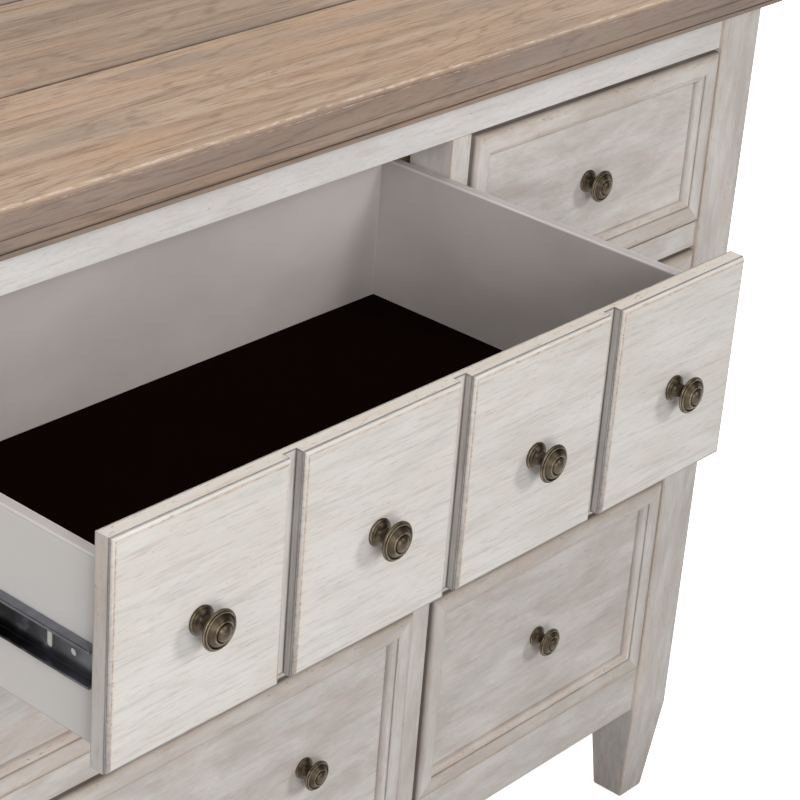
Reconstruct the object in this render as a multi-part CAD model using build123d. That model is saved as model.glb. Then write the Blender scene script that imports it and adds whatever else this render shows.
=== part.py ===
from build123d import *
import os

# A floor-standing dresser: nine inset drawers in three rows and three columns, the top centre drawer pulled out.
# Lengths are in millimetres. X runs along the front, Y from the front to the back, Z up from the floor.

# Drawer fronts
centre_front_width = 711.0
side_front_width = 382.0
top_front_height = 184.5
middle_front_height = 243.0
bottom_front_height = 243.0
front_thickness = 18.0
front_gap = 2.5              # play round each front in its opening
frame_width = 20.5           # flat border of a framed front
quirk_width = 0.8            # fine flat between the border and its quarter round
quirk_depth = 1.5
sticking_radius = 5.2        # quarter round that leads down to the field
field_depth = 10.0
outer_round = 4.0            # rounded outer edge of a framed front
panel_count = 4              # small square panels across the top centre front
panel_raise = 4.0
panel_round = 2.8
panel_step = 0.8             # fine step round each small panel
channel_width = 13.7         # floor of the channel between two small panels
channel_depth = 9.7
board_round = 3.0            # rounded back edge of the panelled front

# Case frame
post_size = 62.0
foot_size = 40.0             # square end of the tapered foot
taper_height = 118.0
floor_clearance = 131.0      # floor to the underside of the base rail
stile_width = 25.5
stile_depth = 50.0
rail_height = 28.0
rail_depth = 45.0
top_rail_height = 40.0
base_rail_height = 56.5
frame_setback = 4.5          # rails and stiles stand this far behind the faces of the posts
case_depth = 447.0
side_panel_thickness = 12.0
side_panel_recess = 12.0     # outer face of the side panel behind the faces of the posts
side_rail_thickness = 22.0
partition_thickness = 12.5
back_panel_thickness = 6.0
back_panel_inset = 5.0
bottom_panel_thickness = 9.0
bottom_panel_drop = 10.0     # top of the base rail down to the bottom panel
cleat_height = 60.0

# Planked top and the moulding below it
top_overhang = 20.0
top_back_overhang = 2.0
plank_thickness = 24.5
plank_width = 179.5          # full planks from the front; the last one takes what is left
plank_bevel = 1.6            # half the width of the V joint between planks
lip_height = 4.5             # fine upper step of the edge of the top
lip_setback = 1.2
lip_round = 2.2
moulding_height = 19.5
moulding_overhang = 14.0
moulding_fillet = 4.5        # plain strip below the bead
bead_overhang = 16.5
bead_round = 5.0
moulding_width = 60.0

# Drawer boxes
box_wall = 11.0
box_depth = 378.0
box_top_drop = 28.5          # top of the front down to the top of the box
box_bottom_rise = 8.0        # bottom of the front up to the bottom of the box
box_floor_rise = 18.5        # bottom of the front up to the floor of the drawer
box_floor_thickness = 5.0
floor_tongue = 4.0           # how far the drawer floor runs into its grooves
felt_thickness = 1.5
felt_margin = 0.5

# Telescopic slides
slide_length = 350.0
slide_thickness = 12.7       # space between the opening and the drawer box
slide_height = 45.0
slide_sheet = 1.2
slide_play = 0.5             # running gap between two members
channel_race = 2.4           # rolled edge of the fixed channel
carrier_race = 3.6           # rolled edge of the carrier
runner_race = 2.6            # rolled edge of the runner
slide_bevel = 0.8            # bent outer corners of every member
channel_reach = 10.0
slide_setback = 3.0          # back of the front to the end of the slide
slide_rise = 66.0            # bottom of the box to the middle of the slide
slide_hole_diameter = 6.0
slide_hole_inset = 24.0
slide_slot_length = 14.0
slide_slot_inset = 48.0
open_distance = 319.0        # how far the top centre drawer is pulled out

# Knobs
knob_base_radius = 11.4
knob_base_lip = 1.8          # straight edge of the base
knob_base_height = 3.6
knob_shoulder_radius = 8.8   # where the neck leaves the base and meets the head
knob_neck_radius = 5.6
knob_head_radius = 16.0
knob_head_start = 14.2       # front to the back of the head
knob_rim_height = 18.4       # front to the widest edge of the head
knob_rim_bead = 1.3          # rise of the bead round the rim
knob_inner_bead = 0.8        # rise of the second bead, inside the rim
knob_ring_radius = 8.3
knob_ring_bead = 0.9         # rise of the raised ring round the button
knob_ring_height = 22.8      # front to the foot of the raised ring
knob_projection = 27.0
knob_drop = 2.0              # knobs sit this far below the middle of a front
knob_end_distance = 139.0    # knob from the end of a wide front

# Places worked out from the sizes above. The origin is on the floor, in the middle of the part's own box.
face_y = (open_distance + knob_projection - case_depth - top_back_overhang) / 2
frame_y = face_y + frame_setback
back_y = face_y + case_depth
centre_edge = centre_front_width / 2 + front_gap
side_inner_edge = centre_edge + stile_width
side_outer_edge = side_inner_edge + side_front_width + 2 * front_gap
case_half = side_outer_edge + post_size
base_top = floor_clearance + base_rail_height
middle_base = base_top + bottom_front_height + 2 * front_gap + rail_height
top_base = middle_base + middle_front_height + 2 * front_gap + rail_height
opening_top = top_base + top_front_height + 2 * front_gap
case_top = opening_top + top_rail_height
plank_base = case_top + moulding_height
top_z = plank_base + plank_thickness
rear_post_y = back_y - post_size
back_panel_y = back_y - back_panel_inset - back_panel_thickness
side_panel_x = case_half - side_panel_recess - side_panel_thickness
bottom_panel_top = base_top - bottom_panel_drop
partition_mid = centre_edge + stile_width / 2
box_front_y = face_y + front_thickness
slide_y = box_front_y + slide_setback
channel_half = slide_height / 2
carrier_half = channel_half - channel_race - slide_play
runner_half = carrier_half - carrier_race - slide_play

# Each opening: its low and high edge along X, and the low and high edge along Z.
columns = {
    "left": (-side_outer_edge, -side_inner_edge),
    "centre": (-centre_edge, centre_edge),
    "right": (side_inner_edge, side_outer_edge),
}
rows = {
    "top": (top_base, top_base + top_front_height + 2 * front_gap),
    "middle": (middle_base, middle_base + middle_front_height + 2 * front_gap),
    "bottom": (base_top, base_top + bottom_front_height + 2 * front_gap),
}


def block(x0, x1, y0, y1, z0, z1):
    low_corner = (Align.MIN, Align.MIN, Align.MIN)
    return Pos(min(x0, x1), y0, z0) * Box(abs(x1 - x0), y1 - y0, z1 - z0, align=low_corner)


def group(pieces):
    solids = [solid for piece in pieces for solid in piece.solids()]
    return Compound(children=solids)


def pulled_out(row, column):
    return open_distance if (row, column) == ("top", "centre") else 0.0


# Drawer fronts

def edges_at(shape, y, half_width, half_height, middle):
    # Edges that lie flat at one depth, inside a rectangle about the middle of the front.
    def inside(edge):
        centre = edge.center()
        return abs(centre.X - middle.X) < half_width and abs(centre.Z - middle.Z) < half_height
    return shape.edges().filter_by_position(Axis.Y, y - 0.01, y + 0.01).filter_by(inside)


def framed_front(x0, x1, y, z0, z1):
    pocket = frame_width + quirk_width + sticking_radius
    board = block(x0, x1, y, y + front_thickness, z0, z1)
    middle = board.center()
    half_width = (x1 - x0) / 2
    half_height = (z1 - z0) / 2
    face_edges = edges_at(board, y, half_width + front_gap, half_height + front_gap, middle)
    board = fillet(face_edges, outer_round)
    board -= block(x0 + frame_width, x1 - frame_width, y, y + quirk_depth, z0 + frame_width, z1 - frame_width)
    board -= block(x0 + pocket, x1 - pocket, y, y + field_depth, z0 + pocket, z1 - pocket)
    rim_play = sticking_radius / 2
    rim = edges_at(board, y + quirk_depth, half_width - pocket + rim_play, half_height - pocket + rim_play, middle)
    return fillet(rim, sticking_radius)


def panelled_front(x0, x1, y, z0, z1):
    panel_gap = channel_width + 2 * panel_step
    panel_width = (x1 - x0 - 2 * panel_step - (panel_count - 1) * panel_gap) / panel_count
    board = block(x0, x1, y + panel_raise, y + front_thickness, z0, z1)
    back_edges = edges_at(board, y + front_thickness, x1 - x0, z1 - z0, board.center())
    board = fillet(back_edges, board_round)
    panels = []
    for index in range(panel_count):
        left = x0 + panel_step + index * (panel_width + panel_gap)
        right = left + panel_width
        panel = block(left, right, y, y + panel_raise, z0 + panel_step, z1 - panel_step)
        face_edges = edges_at(panel, y, panel_width, z1 - z0, panel.center())
        panels.append(fillet(face_edges, panel_round))
        if index < panel_count - 1:
            channel_left = right + panel_step
            board -= block(channel_left, channel_left + channel_width, y, y + channel_depth, z0, z1)
    return board + panels


def knob(x, y, z):
    # Turned profile: radius from the axis, then distance out from the front.
    neck_middle = (knob_base_height + knob_head_start) / 2
    rim_edge = knob_head_radius - knob_rim_bead
    rim_front = knob_rim_height + knob_rim_bead
    bead_middle = rim_edge - knob_inner_bead
    ring_inner = knob_ring_radius - knob_ring_bead
    dome_height = knob_projection - knob_ring_height
    dome_radius = (ring_inner ** 2 + dome_height ** 2) / (2 * dome_height)
    neck_start = (knob_shoulder_radius, -knob_base_height)
    neck_end = (knob_shoulder_radius, -knob_head_start)
    dome_start = (ring_inner, -knob_ring_height)
    dome_end = (0, -knob_projection)
    outline = [
        Polyline((0, 0), (knob_base_radius, 0), (knob_base_radius, -knob_base_lip), neck_start),
        ThreePointArc(neck_start, (knob_neck_radius, -neck_middle), neck_end),
        Polyline(neck_end, (rim_edge, knob_rim_bead - knob_rim_height), (knob_head_radius, -knob_rim_height),
                 (rim_edge, -rim_front), (bead_middle, -rim_front - knob_inner_bead),
                 (bead_middle - knob_inner_bead, -rim_front), (knob_ring_radius + knob_ring_bead, -knob_ring_height),
                 (knob_ring_radius, -knob_ring_height - knob_ring_bead), dome_start),
        RadiusArc(dome_start, dome_end, dome_radius),
        Line(dome_end, (0, 0)),
    ]
    return Pos(x, y, z) * revolve(make_face(Curve() + outline), Axis.Y)


def knob_places(row, column, x0, x1):
    if column != "centre":
        return [(x0 + x1) / 2]
    if row != "top":
        return [x0 + knob_end_distance, x1 - knob_end_distance]
    panel_pitch = (x1 - x0 + channel_width) / panel_count
    return [x0 + panel_pitch * (index + 0.5) - channel_width / 2 for index in range(panel_count)]


# Drawer boxes

def drawer_box(x0, x1, y, z0, z1, floor_z):
    inner_x0 = x0 + box_wall
    inner_x1 = x1 - box_wall
    end_y = y + box_depth
    inner_y0 = y + box_wall
    inner_y1 = end_y - box_wall
    floor = block(inner_x0 - floor_tongue, inner_x1 + floor_tongue, inner_y0 - floor_tongue, inner_y1 + floor_tongue,
                  floor_z - box_floor_thickness, floor_z)
    walls = [
        block(x0, inner_x0, y, end_y, z0, z1),
        block(inner_x1, x1, y, end_y, z0, z1),
        block(inner_x0, inner_x1, y, inner_y0, z0, z1),
        block(inner_x0, inner_x1, inner_y1, end_y, z0, z1),
    ]
    return group([floor] + [wall - floor for wall in walls])


# Telescopic slides: every member is a channel section along Y. The case side is at the edge of the opening, and
# inward is +1 or -1, the way from there to the drawer.

def channel_section(edge, inward, web, lip, half, race, y, z):
    # A flat web from edge to edge of the section, with a rolled race along its top and bottom.
    low, high = min(web[0], lip), max(web[1], lip)
    body = block(edge + inward * low, edge + inward * high, y, y + slide_length, z - half, z + half)
    body = chamfer(body.edges().filter_by(Axis.Y), slide_bevel)
    hollow = (low, web[0]) if lip < web[0] else (web[1], high)
    inner = half - race
    return body - block(edge + inward * hollow[0], edge + inward * hollow[1], y, y + slide_length, z - inner, z + inner)


def fixed_channel(edge, inward, y, z):
    return channel_section(edge, inward, (0, slide_sheet), channel_reach, channel_half, channel_race, y, z)


def carrier(edge, inward, y, z):
    web = (slide_sheet + slide_play, 2 * slide_sheet + slide_play)
    return channel_section(edge, inward, web, slide_thickness - slide_play, carrier_half, carrier_race, y, z)


def runner(edge, inward, y, z):
    web = (slide_thickness - slide_sheet, slide_thickness)
    lip = 2 * (slide_sheet + slide_play)
    member = channel_section(edge, inward, web, lip, runner_half, runner_race, y, z)
    web_x = edge + inward * (web[0] + web[1]) / 2
    turned = Rot(0, 90, 0)
    radius = slide_hole_diameter / 2
    for hole_y in (y + slide_hole_inset, y + slide_length - slide_hole_inset):
        member -= Pos(web_x, hole_y, z) * turned * Cylinder(radius, 2 * slide_sheet)
    slot = extrude(SlotOverall(slide_slot_length, slide_hole_diameter), slide_sheet, both=True)
    return member - Pos(web_x, y + slide_slot_inset, z) * turned * slot


# Case

def corner_post(side, y):
    x = side * (side_outer_edge + post_size / 2)
    middle_y = y + post_size / 2
    shaft = block(x - post_size / 2, x + post_size / 2, y, y + post_size, taper_height, case_top)
    foot_end = Pos(x, middle_y, 0) * Rectangle(foot_size, foot_size)
    foot_top = Pos(x, middle_y, taper_height) * Rectangle(post_size, post_size)
    return shaft + loft([foot_end, foot_top], ruled=True)


def front_rails():
    back = frame_y + rail_depth
    rails = [
        block(-side_outer_edge, side_outer_edge, frame_y, back, opening_top, case_top),
        block(-side_outer_edge, side_outer_edge, frame_y, back, floor_clearance, base_top),
    ]
    for low in (middle_base - rail_height, top_base - rail_height):
        for x0, x1 in columns.values():
            rails.append(block(x0, x1, frame_y, back, low, low + rail_height))
    return group(rails)


def divider_stiles():
    return group([block(side * centre_edge, side * side_inner_edge, frame_y, frame_y + stile_depth, base_top, opening_top)
                  for side in (-1, 1)])


def partitions():
    half = partition_thickness / 2
    return group([block(side * partition_mid - half, side * partition_mid + half, frame_y + stile_depth, back_panel_y,
                        bottom_panel_top, case_top) for side in (-1, 1)])


def side_frames():
    front = face_y + post_size
    rail_outer = case_half - frame_setback
    rail_inner = rail_outer - side_rail_thickness
    pieces = []
    for side in (-1, 1):
        pieces.append(block(side * rail_inner, side * rail_outer, front, rear_post_y, opening_top, case_top))
        pieces.append(block(side * rail_inner, side * rail_outer, front, rear_post_y, floor_clearance, base_top))
        pieces.append(block(side * side_panel_x, side * (side_panel_x + side_panel_thickness), front, rear_post_y,
                            base_top, opening_top))
    return group(pieces)


def bottom_panel():
    half = case_half - frame_setback - side_rail_thickness
    low = bottom_panel_top - bottom_panel_thickness
    panel = block(-half, half, frame_y + rail_depth, back_panel_y, low, bottom_panel_top)
    for side in (-1, 1):
        for y in (face_y, rear_post_y):
            panel -= block(side * side_outer_edge, side * case_half, y, y + post_size, low, bottom_panel_top)
    return panel


def back_panel():
    return block(-side_outer_edge, side_outer_edge, back_panel_y, back_panel_y + back_panel_thickness,
                 floor_clearance, case_top)


def cleat(edge, inward, z):
    # Packing strip that brings the slide flush with the opening: against a partition or against a side panel.
    outer = abs(edge) > partition_mid + stile_width
    front = face_y + post_size if outer else frame_y + stile_depth
    partition_face = (stile_width - partition_thickness) / 2
    depth = side_panel_x - side_outer_edge if outer else partition_face
    return block(edge, edge - inward * depth, front, rear_post_y, z - cleat_height / 2, z + cleat_height / 2)


def top_planks():
    half = case_half + top_overhang
    front = face_y - top_overhang
    end = back_y + top_back_overhang
    lip_z = top_z - lip_height
    slab = block(-half, half, front, end, plank_base, lip_z)
    lip = block(-half + lip_setback, half - lip_setback, front + lip_setback, end, lip_z, top_z)
    arris = lip.edges().filter_by_position(Axis.Z, top_z - 0.01, top_z + 0.01).sort_by(Axis.Y)[:-1]
    slab += fillet(arris, lip_round)
    joints = []
    joint = front + plank_width
    while joint < end - plank_width / 4:
        joints.append(joint)
        joint += plank_width
    vee_side = plank_bevel * 2 ** 0.5
    for y in joints:
        slab -= Pos(0, y, top_z) * Rot(45, 0, 0) * Box(2 * half, vee_side, vee_side)
    borders = [front] + joints + [end]
    return group([slab & block(-half, half, y0, y1, plank_base, top_z) for y0, y1 in zip(borders, borders[1:])])


def top_moulding():
    end = back_y + top_back_overhang
    step_z = case_top + moulding_fillet

    def layer(overhang, z0, z1):
        return block(-case_half - overhang, case_half + overhang, face_y - overhang, end, z0, z1)

    bead = layer(bead_overhang, step_z, plank_base)
    long_edges = bead.edges().filter_by(Axis.X) + bead.edges().filter_by(Axis.Y)
    shown = [edge for edge in long_edges if edge.center().Y < end - bead_round]
    frame = layer(moulding_overhang, case_top, step_z) + fillet(shown, bead_round)
    outer_x = case_half + bead_overhang
    outer_y = face_y - bead_overhang
    inner_x = outer_x - moulding_width
    inner_y0 = outer_y + moulding_width
    inner_y1 = end - moulding_width
    corners = [(-outer_x, outer_y), (outer_x, outer_y), (outer_x, end), (-outer_x, end)]
    mitres = [(-inner_x, inner_y0), (inner_x, inner_y0), (inner_x, inner_y1), (-inner_x, inner_y1)]
    strips = []
    for index in range(4):
        follow = (index + 1) % 4
        plan = Polyline(corners[index], corners[follow], mitres[follow], mitres[index], close=True)
        strips.append(frame & Pos(0, 0, case_top) * extrude(make_face(plan), moulding_height))
    return group(strips)


# Assembly: one named piece, or group of like pieces, per file

nodes = {
    "top_planks": top_planks(),
    "top_moulding": top_moulding(),
    "front_left_post": corner_post(-1, face_y),
    "front_right_post": corner_post(1, face_y),
    "back_left_post": corner_post(-1, rear_post_y),
    "back_right_post": corner_post(1, rear_post_y),
    "front_rails": front_rails(),
    "divider_stiles": divider_stiles(),
    "partitions": partitions(),
    "side_frames": side_frames(),
    "bottom_panel": bottom_panel(),
    "back_panel": back_panel(),
}
cleats = []
channels = []
for row, (opening_z0, opening_z1) in rows.items():
    for column, (opening_x0, opening_x1) in columns.items():
        pull = pulled_out(row, column)
        x0 = opening_x0 + front_gap
        x1 = opening_x1 - front_gap
        z0 = opening_z0 + front_gap
        z1 = opening_z1 - front_gap
        name = f"{row}_{column}"
        panelled = (row, column) == ("top", "centre")
        make_front = panelled_front if panelled else framed_front
        knob_y = face_y - pull + (0 if panelled else field_depth)
        knob_z = (z0 + z1) / 2 - knob_drop
        box_z0 = z0 + box_bottom_rise
        box_x0 = opening_x0 + slide_thickness
        box_x1 = opening_x1 - slide_thickness
        box_y = box_front_y - pull
        floor_z = z0 + box_floor_rise
        slide_z = box_z0 + slide_rise
        sides = ((opening_x0, 1), (opening_x1, -1))
        nodes[f"{name}_front"] = make_front(x0, x1, face_y - pull, z0, z1)
        nodes[f"{name}_knobs"] = group([knob(x, knob_y, knob_z) for x in knob_places(row, column, x0, x1)])
        nodes[f"{name}_box"] = drawer_box(box_x0, box_x1, box_y, box_z0, z1 - box_top_drop, floor_z)
        nodes[f"{name}_runners"] = group([runner(edge, way, slide_y - pull, slide_z) for edge, way in sides])
        nodes[f"{name}_carriers"] = group([carrier(edge, way, slide_y - pull / 2, slide_z) for edge, way in sides])
        channels += [fixed_channel(edge, way, slide_y, slide_z) for edge, way in sides]
        cleats += [cleat(edge, way, slide_z) for edge, way in sides]
        if panelled:
            nodes["felt_liner"] = block(box_x0 + box_wall + felt_margin, box_x1 - box_wall - felt_margin,
                                        box_y + box_wall + felt_margin, box_y + box_depth - box_wall - felt_margin,
                                        floor_z, floor_z + felt_thickness)
nodes["slide_cleats"] = group(cleats)
nodes["slide_channels"] = group(channels)

os.makedirs("parts", exist_ok=True)
for node, shape in nodes.items():
    export_step(shape, f"parts/{node}.step")
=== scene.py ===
from math import atan2, cos, degrees, pi, radians, sin

import bmesh
import bpy
from mathutils import Matrix, Vector


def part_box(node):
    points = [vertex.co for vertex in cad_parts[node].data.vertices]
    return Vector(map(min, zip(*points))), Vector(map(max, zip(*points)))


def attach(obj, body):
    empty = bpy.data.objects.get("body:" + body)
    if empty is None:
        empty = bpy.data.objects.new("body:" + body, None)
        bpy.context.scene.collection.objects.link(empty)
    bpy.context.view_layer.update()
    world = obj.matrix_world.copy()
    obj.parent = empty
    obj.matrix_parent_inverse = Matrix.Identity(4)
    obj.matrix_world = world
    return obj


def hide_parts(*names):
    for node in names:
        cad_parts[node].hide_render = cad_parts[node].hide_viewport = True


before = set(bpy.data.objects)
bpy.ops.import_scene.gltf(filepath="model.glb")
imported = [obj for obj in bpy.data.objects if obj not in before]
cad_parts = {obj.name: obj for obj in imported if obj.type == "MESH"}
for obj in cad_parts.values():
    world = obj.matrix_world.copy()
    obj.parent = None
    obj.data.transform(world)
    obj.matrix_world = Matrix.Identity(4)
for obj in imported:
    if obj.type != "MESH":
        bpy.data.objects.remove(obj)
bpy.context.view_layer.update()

mm = 0.001
hair = 0.01 * mm  # places closer than this count as one


# Shader maths: a Term is one output socket, and sums of Terms add Math nodes

class Term:
    def __init__(self, finish, socket):
        self.finish = finish
        self.socket = socket

    def __add__(self, other):
        return self.finish.maths("ADD", self, other)

    def __sub__(self, other):
        return self.finish.maths("SUBTRACT", self, other)

    def __rsub__(self, other):
        return self.finish.maths("SUBTRACT", other, self)

    def __mul__(self, other):
        return self.finish.maths("MULTIPLY", self, other)

    __radd__ = __add__
    __rmul__ = __mul__


class Finish:
    def __init__(self, name):
        self.material = bpy.data.materials.new(name)
        self.material.use_nodes = True
        self.tree = self.material.node_tree
        self.tree.nodes.clear()
        output = self.tree.nodes.new("ShaderNodeOutputMaterial")
        self.shader = self.tree.nodes.new("ShaderNodeBsdfPrincipled")
        self.tree.links.new(self.shader.outputs[0], output.inputs[0])

    def feed(self, socket, value):
        if isinstance(value, Term):
            self.tree.links.new(value.socket, socket)
        elif socket.type == "RGBA":
            socket.default_value = (*value, 1.0)
        else:
            socket.default_value = value

    def node(self, kind, settings, sockets, out=0):
        made = self.tree.nodes.new(kind)
        for name, value in settings.items():
            setattr(made, name, value)
        for name, value in sockets.items():
            self.feed(made.inputs[name], value)
        return Term(self, made.outputs[out])

    def put(self, **sockets):
        for name, value in sockets.items():
            self.feed(self.shader.inputs[name.replace("_", " ")], value)

    def maths(self, operation, first, second):
        return self.node("ShaderNodeMath", {"operation": operation}, {0: first, 1: second})

    def attribute(self, name, out="Fac"):
        return self.node("ShaderNodeAttribute", {"attribute_name": name}, {}, out)

    def place(self):  # the point in the frame that every piece shares
        return self.node("ShaderNodeTexCoord", {}, {}, "Object")

    def noise(self, vector, stretch, detail, rough, warp=0.0):
        scaled = self.node("ShaderNodeVectorMath", {"operation": "MULTIPLY"}, {0: vector, 1: stretch})
        return self.node("ShaderNodeTexNoise", {}, {"Vector": scaled, "Scale": 1.0, "Detail": detail,
                                                    "Roughness": rough, "Distortion": warp})

    def span(self, value, low, high):  # 0 below low, 1 above high, smooth between
        return self.node("ShaderNodeMapRange", {"interpolation_type": "SMOOTHSTEP"},
                         {0: value, 1: low, 2: high})

    def blend(self, share, first, second):
        return self.node("ShaderNodeMix", {"data_type": "RGBA"}, {0: share, 6: first, 7: second}, 2)

    def relief(self, height, strength, depth):
        self.put(Normal=self.node("ShaderNodeBump", {}, {"Strength": strength, "Distance": depth,
                                                         "Height": height}))


def tone(red, green, blue):  # a colour as a picture shows it, 0 to 255
    return tuple(((part / 255 + 0.055) / 1.055) ** 2.4 for part in (red, green, blue))


# Finishes. A size says how finely a pattern repeats, along and across the grain, and a share how strongly
# a layer covers. The two numbers of a span are where a layer starts to show and where it is full.

brushwork = dict(  # what both paints share
    tintSize=(7, 24, 26), coolSize=(8, 34, 32), chipSize=(80, 210, 210), thinSize=(26, 110, 110),
    fleckSize=(150, 480, 480), blushShare=0.8, coolShare=0.5, speckShare=0.6, fleckShare=0.5,
    glazeAndShadeShare=0.9, chipSwing=1.4, rubSpan=0.5,
)
casePaint = dict(
    light=tone(232, 227, 223), shade=tone(205, 196, 190), blush=tone(221, 204, 196),
    cool=tone(207, 204, 200), cream=tone(214, 198, 181), tan=tone(190, 168, 147),
    stroke=tone(172, 158, 147), rubbed=tone(150, 120, 98), glazeAndShade=tone(112, 99, 90),
    keptPaintAndLight=tone(241, 241, 241), keptPaintAndLightShare=0.5, cloudSize=(8, 24, 24),
    strokeSize=(18, 250, 250), strokeShare=0.26, dashSize=(90, 620, 620), dashShare=0.24,
    tanShare=0.5, rubStart=0.86, rubShare=0.7,
)
frontPaint = dict(
    light=tone(230, 226, 221), shade=tone(221, 216, 210), blush=tone(226, 213, 204),
    cool=tone(216, 215, 211), cream=tone(224, 211, 198), tan=tone(205, 186, 168),
    stroke=tone(168, 158, 150), rubbed=tone(152, 120, 100), glazeAndShade=tone(92, 87, 85),
    keptPaintAndLight=tone(230, 226, 221), keptPaintAndLightShare=0.0, cloudSize=(10, 34, 34),
    strokeSize=(15, 320, 320), strokeShare=0.36, dashSize=(64, 760, 760), dashShare=0.34,
    tanShare=0.4, rubStart=0.58, rubShare=0.62,
)


def paintedWood(name, look):
    fin = Finish(name)
    grain = fin.attribute("grain", "Vector")
    faceMark = fin.attribute("faceMark")
    arris = fin.attribute("arris") * (1 - faceMark)
    glazeAndShade = fin.attribute("glazeAndShade")
    clouds = fin.noise(grain, look["cloudSize"], 6, 0.66, 0.3)
    tints = fin.noise(grain, brushwork["tintSize"], 6, 0.66, 0.4)
    cools = fin.noise(grain, brushwork["coolSize"], 5, 0.64, 0.4)
    strokes = fin.noise(grain, look["strokeSize"], 4, 0.6, 0.2)
    dashes = fin.noise(grain, look["dashSize"], 4, 0.65)
    chips = fin.noise(grain, brushwork["chipSize"], 4, 0.65)
    thin = fin.noise(grain, brushwork["thinSize"], 5, 0.68)
    flecks = fin.noise(grain, brushwork["fleckSize"], 2, 0.5)

    specks = fin.span(flecks, 0.71, 0.77) * fin.span(tints, 0.48, 0.6)
    creamEdge = fin.span(arris, 0.05, 0.5) * (0.35 + clouds * 0.5)
    tanEdge = fin.span(arris, 0.10, 0.4) * fin.span(thin, 0.48, 0.66)
    fleckEdge = fin.span(arris, 0.15, 0.4) * fin.span(flecks, 0.62, 0.72)
    # Dark glaze together with painted shade: the darkening that the meshes put in corners, gaps and recesses.
    darkened = fin.span(glazeAndShade * (0.45 + strokes * 0.5 + clouds * 0.4), 0.06, 0.95)
    chipped = arris + (chips - 0.5) * brushwork["chipSwing"]
    rubbed = fin.span(chipped, look["rubStart"], look["rubStart"] + brushwork["rubSpan"])

    colour = fin.blend(fin.span(clouds, 0.34, 0.68), look["light"], look["shade"])
    colour = fin.blend(fin.span(tints, 0.50, 0.74) * brushwork["blushShare"], colour, look["blush"])
    colour = fin.blend(fin.span(cools, 0.52, 0.74) * brushwork["coolShare"], colour, look["cool"])
    # Marked faces turn paler: on the stiles of the framed fronts a paler paint; on the rail under the top
    # whiter paint together with painted light that lifts the shade under the top's overhang.
    colour = fin.blend(faceMark * look["keptPaintAndLightShare"], colour, look["keptPaintAndLight"])
    colour = fin.blend(fin.span(strokes, 0.48, 0.76) * look["strokeShare"], colour, look["stroke"])
    colour = fin.blend(fin.span(dashes, 0.52, 0.70) * look["dashShare"], colour, look["stroke"])
    colour = fin.blend(specks * brushwork["speckShare"], colour, look["rubbed"])
    colour = fin.blend(creamEdge, colour, look["cream"])
    colour = fin.blend(tanEdge * look["tanShare"], colour, look["tan"])
    colour = fin.blend(fleckEdge * brushwork["fleckShare"], colour, look["rubbed"])
    colour = fin.blend(darkened * brushwork["glazeAndShadeShare"], colour, look["glazeAndShade"])
    colour = fin.blend(rubbed * look["rubShare"], colour, look["rubbed"])
    fin.put(Base_Color=colour, Roughness=0.5 + strokes * 0.2, Specular_IOR_Level=0.32)
    fin.relief(strokes * 0.5 + dashes * 0.6 - rubbed * 0.5, strength=0.30, depth=0.0005)
    return fin.material


oak = dict(
    pale=tone(207, 181, 158), mid=tone(180, 152, 130), brown=tone(138, 113, 95), grey=tone(163, 148, 136),
    pore=tone(96, 79, 67), wornAndLit=tone(222, 208, 192), joint=tone(44, 34, 28), warm=tone(205, 169, 138),
    stainAndShade=tone(120, 112, 112), figureSize=(1.3, 10, 10), driftSize=(2.4, 13, 13), tintSize=(4, 24, 24),
    bandSize=(3.0, 70, 70), fibreSize=(14, 420, 420), poreSize=(70, 900, 900), chipSize=(70, 300, 300),
    rings=170.0, ringWander=0.05, ringShare=0.5, warmShare=0.75, greyShare=0.75, fibreShare=0.8,
    poreShare=0.65, stainAndShadeShare=0.54, jointAndShadeShare=0.92, wornAndLitShare=0.8, chipSwing=1.6,
)


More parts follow.
